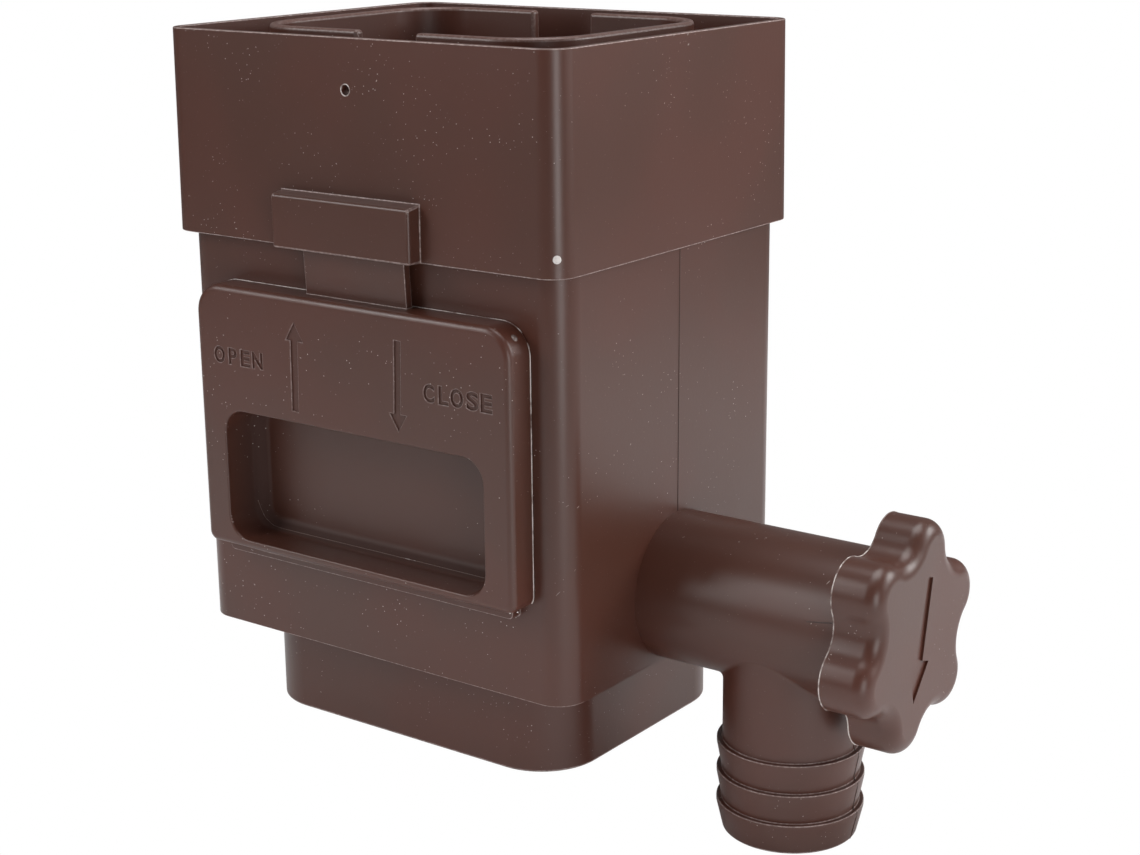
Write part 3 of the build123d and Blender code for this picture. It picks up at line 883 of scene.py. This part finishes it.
# Trimmed flash along the knob's and the door's back edges; its pale colour is partly whitening
# and partly a painted highlight
flashBead = {
    "radius": 0.00013,
    "unevenness": 0.6,
    "step": 0.0006,
    "seed": 5.0,
    "slack": 3e-5,
    "knobBack": 0.1118,
    "knobCentre": 0.04124,
    "knobLeast": 0.0195,
    "doorBack": -0.0463,
    "doorMiddle": 0.0006,
    "doorLeast": 0.0475,
    "doorTop": 0.1105,
}


def addFlash(look):
    def knobRim(v):
        away = Vector((v.y, v.z - look["knobCentre"])).length
        return abs(v.x - look["knobBack"]) < look["slack"] and away > look["knobLeast"]

    def doorRim(v):
        outer = abs(v.x - look["doorMiddle"]) > look["doorLeast"] or v.z > look["doorTop"]
        return abs(v.y - look["doorBack"]) < look["slack"] and outer

    addBead("knobFlash", rimMesh("valve_knob", knobRim), look, flashPlastic, "valve")
    addBead("doorFlash", rimMesh("front_door", doorRim), look, flashPlastic, "door")


addFlash(flashBead)

# Fine crease along the foot of the door's pocket, in mm; its paler colour is a painted highlight
creaseBead = {
    "radius": 0.00009,
    "unevenness": 0.3,
    "step": 0.001,
    "seed": 4.0,
    "line": [
        (-39.36, -44.23, 56.49), (-38.97, -43.71, 54.32), (-37.85, -43.59, 52.12),
        (-35.32, -43.46, 50.44), (-32.0, -43.46, 50.13), (-9.43, -43.47, 50.14),
        (12.85, -43.44, 50.16), (36.0, -43.5, 50.1),
    ],
}


def addCrease(look):
    path = pathMesh([[metres(point) for point in look["line"]]])
    addBead("pocketCrease", path, look, creasePlastic, "door")


addCrease(creaseBead)
print("lines and flash made")

# Gate pips, small bumps whose white is a painted glint. Place in mm, the way each faces
# and its half width in mm
glintPips = {
    "flatness": 0.3,
    "separator": [
        ((57.38, -47.32, 128.45), (0.71, -0.71, 0.0), 0.95),
        ((-41.5, -46.4, 40.5), (0.0, -1.0, 0.0), 0.16),
    ],
    "door": [
        ((47.19, -49.51, 110.42), (0.75, 0.0, 0.67), 0.85),
        ((47.2, -52.9, 47.5), (0.3, -0.9, -0.3), 0.22),
        ((48.6, -51.9, 47.7), (0.5, -0.8, -0.3), 0.2),
    ],
}


def addPips(look, body):
    mesh = bpy.data.meshes.new("spots")
    mesh.from_pydata([metres(place) for place, facing, wide in look[body]], [], [])
    mesh.attributes.new("facing", "FLOAT_VECTOR", "POINT")
    mesh.attributes.new("wide", "FLOAT", "POINT")
    for k, (place, facing, wide) in enumerate(look[body]):
        mesh.attributes["facing"].data[k].vector = facing
        mesh.attributes["wide"].data[k].value = wide * 0.001
    pips = grown(mesh, glintTree, {"Flatness": look["flatness"], "Plastic": glintPlastic})
    finished("glintPips." + body, pips, glintPlastic, [], body)


addPips(glintPips, "separator")
addPips(glintPips, "door")
print("pips made")

# Camera, set where the photo was taken from
cameraLook = {
    "azimuth": 36.37,
    "elevation": 15.5,
    "roll": -0.56,
    "distance": 0.52391,
    "target": (0.0, 0.0, 0.1035),
    "moveRight": 0.02088,
    "moveUp": -0.03094,
    "lens": 65.995,
    "sensor": 36.0,
    "nearest": 0.01,
    "farthest": 50.0,
}


def addCamera(look):
    turn, tilt, roll = [math.radians(look[key]) for key in ("azimuth", "elevation", "roll")]
    flat = math.cos(tilt)
    ahead = Vector((-math.sin(turn) * flat, math.cos(turn) * flat, -math.sin(tilt)))
    side = Vector((math.cos(turn), math.sin(turn), 0.0))
    rise = side.cross(ahead)
    right = side * math.cos(roll) + rise * math.sin(roll)
    top = rise * math.cos(roll) - side * math.sin(roll)
    spot = Vector(look["target"]) - ahead * look["distance"]
    spot += right * look["moveRight"] + top * look["moveUp"]
    data = bpy.data.cameras.new("photoCamera")
    data.lens = look["lens"]
    data.sensor_width = look["sensor"]
    data.clip_start = look["nearest"]
    data.clip_end = look["farthest"]
    camera = placed("photoCamera", data)
    axes = Matrix((right, top, -ahead)).transposed().to_4x4()
    camera.matrix_world = Matrix.Translation(spot) @ axes
    bpy.context.scene.camera = camera


addCamera(cameraLook)
print("camera placed")

# Studio: white paper, a soft box above, boxes for the bands on the pipe and the corners,
# a wash on the paper to the right, and small fills
white = (1.0, 1.0, 1.0, 1.0)
studioLook = {
    "floorHeight": -0.0142,
    "floorRadius": 0.55,
    "floorCorners": 64,
    "paper": 0.92,
    "dark": 0.135,
    "bright": 0.25,
    "brightSide": (0.60, 0.80, 0.0),
    "boxes": {
        "rightBox": {
            "spot": (1.25, 0.55, 0.45), "aim": (0, 0, 0.08), "size": (0.9, 0.8), "power": 3.0,
        },
        "cornerStrip": {
            "spot": (0.93, -0.58, 0.05), "aim": (0, 0, 0.1), "size": (0.36, 0.7), "power": 4.4,
        },
        "leftBox": {
            "spot": (-0.62, -1.04, 0.44), "aim": (0.08, 0, 0.05), "size": (0.42, 0.42),
            "power": 1.9,
        },
        "bandBox": {
            "spot": (-0.62, -0.64, 0.70), "aim": (0.08, 0, 0.04), "size": (0.40, 0.40),
            "power": 4.0,
        },
        "rightWash": {
            "spot": (0.62, 0.50, 0.42), "aim": (0.24, 0.26, -0.014), "size": (0.35, 0.35),
            "power": 3.4,
        },
        "topBox": {
            "spot": (0.1, 0.1, 1.2), "aim": (0, 0, 0.1), "size": (0.8, 0.8), "power": 10.0,
        },
        "frontBox": {
            "spot": (-0.1, -0.9, 1.25), "aim": (0, 0, 0.1), "size": (0.7, 0.7), "power": 0.7,
        },
    },
}


def whiteToCamera(s, shown, lit):
    # the photo's ground is pure white, but what lights the object is softer
    seen = s.make("ShaderNodeLightPath", {}, {}, "Is Camera Ray")
    return s.make("ShaderNodeMixShader", {}, {0: seen, 1: lit, 2: shown})


def addFloor(look):
    mesh = bpy.data.meshes.new("studioFloor")
    radius, count = look["floorRadius"], look["floorCorners"]
    turns = [k * math.tau / count for k in range(count)]
    rim = [(radius * math.cos(t), radius * math.sin(t), look["floorHeight"]) for t in turns]
    mesh.from_pydata(rim, [], [tuple(range(count))])
    floor = placed("studioFloor", mesh)
    material = bpy.data.materials.new("palePaper")
    material.use_nodes = True
    tree = material.node_tree
    tree.nodes.remove(tree.nodes["Principled BSDF"])
    s = Shade(tree)
    paper = s.make("ShaderNodeBsdfDiffuse", {}, {"Color": (look["paper"],) * 3 + (1.0,)})
    shown = s.make("ShaderNodeEmission", {}, {"Color": white, "Strength": 1.0})
    s.feed(tree.nodes["Material Output"].inputs["Surface"], whiteToCamera(s, shown, paper))
    mesh.materials.append(material)


def addLight(name, look):
    data = bpy.data.lights.new(name, "AREA")
    data.shape = "RECTANGLE"
    data.size, data.size_y = look["size"]
    data.energy = look["power"]
    light = placed(name, data)
    light.location = look["spot"]
    light.rotation_mode = "QUATERNION"
    toward = Vector(look["aim"]) - Vector(look["spot"])
    light.rotation_quaternion = toward.to_track_quat("-Z", "Y")
    light.visible_camera = False


def addWorld(look):
    world = bpy.data.worlds.new("studioWorld")
    world.use_nodes = True
    tree = world.node_tree
    tree.nodes.remove(tree.nodes["Background"])
    s = Shade(tree)
    way = s.make("ShaderNodeTexCoord", {}, {}, "Generated")
    facing = {0: way, 1: look["brightSide"]}
    lean = s.make("ShaderNodeVectorMath", {"operation": "DOT_PRODUCT"}, facing, "Value")
    strength = look["dark"] + lean.above(-0.2, 0.8) * (look["bright"] - look["dark"])
    lit = s.make("ShaderNodeBackground", {}, {"Color": white, "Strength": strength})
    shown = s.make("ShaderNodeBackground", {}, {"Color": white, "Strength": 1.0})
    s.feed(tree.nodes["World Output"].inputs["Surface"], whiteToCamera(s, shown, lit))
    bpy.context.scene.world = world


bpy.context.scene.view_settings.view_transform = "Standard"
addFloor(studioLook)
addWorld(studioLook)
for name, look in studioLook["boxes"].items():
    addLight(name, look)
print("studio lit")
